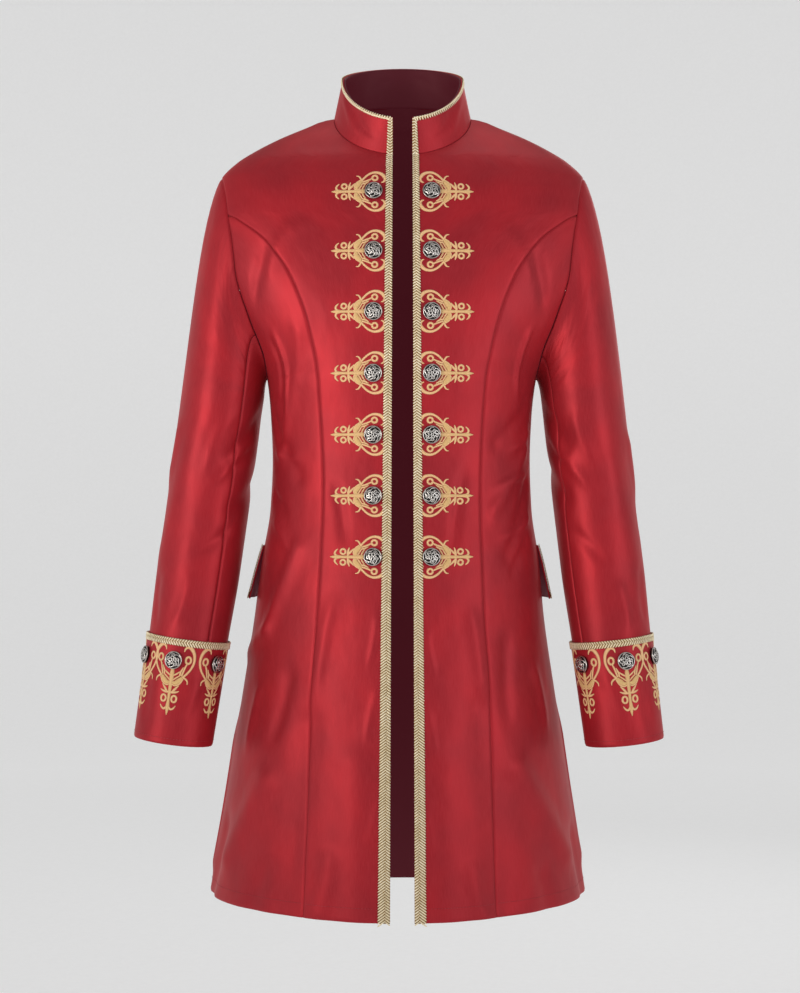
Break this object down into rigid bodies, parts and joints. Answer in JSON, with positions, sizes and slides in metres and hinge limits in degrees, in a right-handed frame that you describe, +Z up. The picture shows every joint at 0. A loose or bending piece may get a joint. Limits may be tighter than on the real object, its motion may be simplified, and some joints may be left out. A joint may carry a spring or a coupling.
{
  "type": "tailcoat",
  "caption": "Knee-length fitted satin frock tailcoat with stand collar, open front, gold braid edges, scroll embroidery, domed buttons, cuffs and pocket flaps.",
  "frame": {"origin": "midway between the two points where the shoulder seams meet the collar, where the wearer's shoulders carry the coat", "axes": "+Z up, the wearer faces -Y, +X to the wearer's left"},
  "size_m": [0.6297, 0.2902, 1.0136],
  "materials": {
    "satin": "satin",
    "lining": "matte",
    "braid": "satin",
    "button": "antique silver, polished highs"
  },
  "bodies": {
    "root": {"front_right": "satin", "side_front_right": "satin", "front_left": "satin", "side_front_left": "satin", "back": "satin", "lining_back": "lining", "collar": "satin", "lining_collar": "lining", "sleeve_top_right": "satin", "sleeve_under_right": "satin", "cuff_right": "satin", "flap_right": "satin", "braid_front_right": "braid", "braid_cuff_right": "braid", "braid_flap_right": "braid", "button_front_right_1": "button", "button_front_right_2": "button", "button_front_right_3": "button", "button_front_right_4": "button", "button_front_right_5": "button", "button_front_right_6": "button", "button_front_right_7": "button", "button_cuff_right_1": "button", "button_cuff_right_2": "button", "button_cuff_right_3": "button", "sleeve_top_left": "satin", "sleeve_under_left": "satin", "cuff_left": "satin", "flap_left": "satin", "braid_front_left": "braid", "braid_cuff_left": "braid", "braid_flap_left": "braid", "button_front_left_1": "button", "button_front_left_2": "button", "button_front_left_3": "button", "button_front_left_4": "button", "button_front_left_5": "button", "button_front_left_6": "button", "button_front_left_7": "button", "button_cuff_left_1": "button", "button_cuff_left_2": "button", "button_cuff_left_3": "button", "braid_collar": "braid"}
  },
  "joints": []
}
